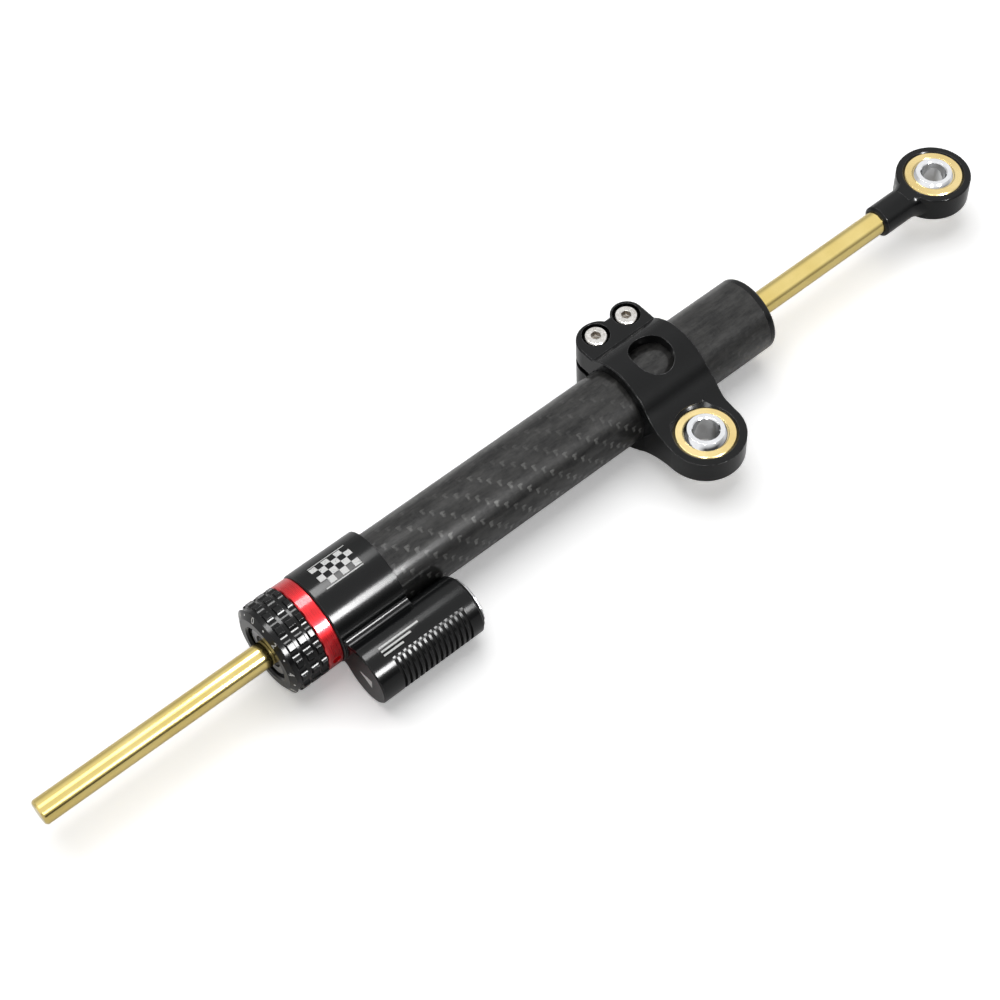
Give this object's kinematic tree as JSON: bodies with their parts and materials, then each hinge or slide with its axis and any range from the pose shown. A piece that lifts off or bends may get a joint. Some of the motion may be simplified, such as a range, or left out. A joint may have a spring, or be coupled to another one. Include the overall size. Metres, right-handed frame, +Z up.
{
  "type": "motorcycle steering damper",
  "caption": "Hydraulic steering damper: a through rod in a carbon tube, with a side canister, a click adjuster knob, a clamp on the tube with a ball joint ear and a ball joint eye on the rod.",
  "frame": {"origin": "centre of the ball in the rod's eye, with the damper at rest", "axes": "X along the rod from the free tip toward the eye, Z up along the eye's bore, Y completing the frame, so the clamp's ear and the canister are on the -Y side"},
  "size_m": [0.358, 0.0629, 0.032],
  "materials": {
    "black_anodised": "gloss black anodised",
    "carbon": "twill carbon fibre under clear coat",
    "red_anodised": "red anodised",
    "gold_coated": "polished gold coloured coating",
    "chromed": "polished",
    "stainless": "turned stainless steel",
    "plain_aluminium": "turned",
    "bush_bronze": "sintered bronze",
    "seal_rubber": "moulded",
    "ring_plastic": "filled plastic"
  },
  "bodies": {
    "barrel": {"carbon_tube": "carbon", "inner_liner": "plain_aluminium", "head_block": "black_anodised", "index_ring": "red_anodised", "ring_set_screw": "stainless", "detent_ball": "stainless", "detent_spring": "stainless", "knob_clip": "stainless", "front_gland": "plain_aluminium", "front_bush": "bush_bronze", "front_rod_seal": "seal_rubber", "front_gland_o_ring": "seal_rubber", "end_cap": "black_anodised", "rear_bush": "bush_bronze", "rear_rod_seal": "seal_rubber", "rear_wiper": "seal_rubber", "rear_o_ring": "seal_rubber", "reservoir_cap": "black_anodised", "cap_o_ring": "seal_rubber", "plug_seal": "bush_bronze", "fill_plug": "stainless"},
    "float": {"floating_piston": "plain_aluminium", "floating_piston_ring": "ring_plastic"},
    "piston_band": {"piston_ring": "ring_plastic"},
    "rod": {"rod": "gold_coated", "piston": "plain_aluminium", "piston_shims": "stainless", "piston_clips": "stainless", "rod_end": "black_anodised", "eye_race": "gold_coated"},
    "rod_ball": {"eye_ball": "chromed"},
    "knob": {"adjuster_knob": "black_anodised", "valve_sleeve": "plain_aluminium", "valve_o_rings": "seal_rubber", "front_wiper": "seal_rubber"},
    "clamp": {"split_clamp": "black_anodised", "clamp_screws": "stainless", "clamp_race": "gold_coated"},
    "frame_ball": {"clamp_ball": "chromed"}
  },
  "joints": [
    {"name": "rod_slide", "type": "slide", "parent": "barrel", "child": "piston_band", "axis": [1, 0, 0], "range_m": [-0.052, 0.068]},
    {"name": "rod_turn", "type": "hinge", "parent": "piston_band", "child": "rod", "pos_m": [-0.17485, 0, 0], "axis": [1, 0, 0], "continuous": true},
    {"name": "eye_ball_tilt", "type": "hinge", "parent": "rod", "child": "rod_ball", "pos_m": [0, 0, 0], "axis": [1, 0, 0], "range_deg": [-12, 12]},
    {"name": "knob_turn", "type": "hinge", "parent": "barrel", "child": "knob", "pos_m": [-0.264, 0, 0], "axis": [-1, 0, 0], "range_deg": [0, 337.5]},
    {"name": "float_slide", "type": "slide", "parent": "barrel", "child": "float", "axis": [1, 0, 0], "range_m": [-0.006, 0.006]},
    {"name": "clamp_slide", "type": "slide", "parent": "barrel", "child": "clamp", "axis": [1, 0, 0], "range_m": [-0.066, 0.025]},
    {"name": "clamp_ball_tilt", "type": "hinge", "parent": "clamp", "child": "frame_ball", "pos_m": [-0.1262, -0.0273, 0], "axis": [1, 0, 0], "range_deg": [-12, 12]}
  ]
}
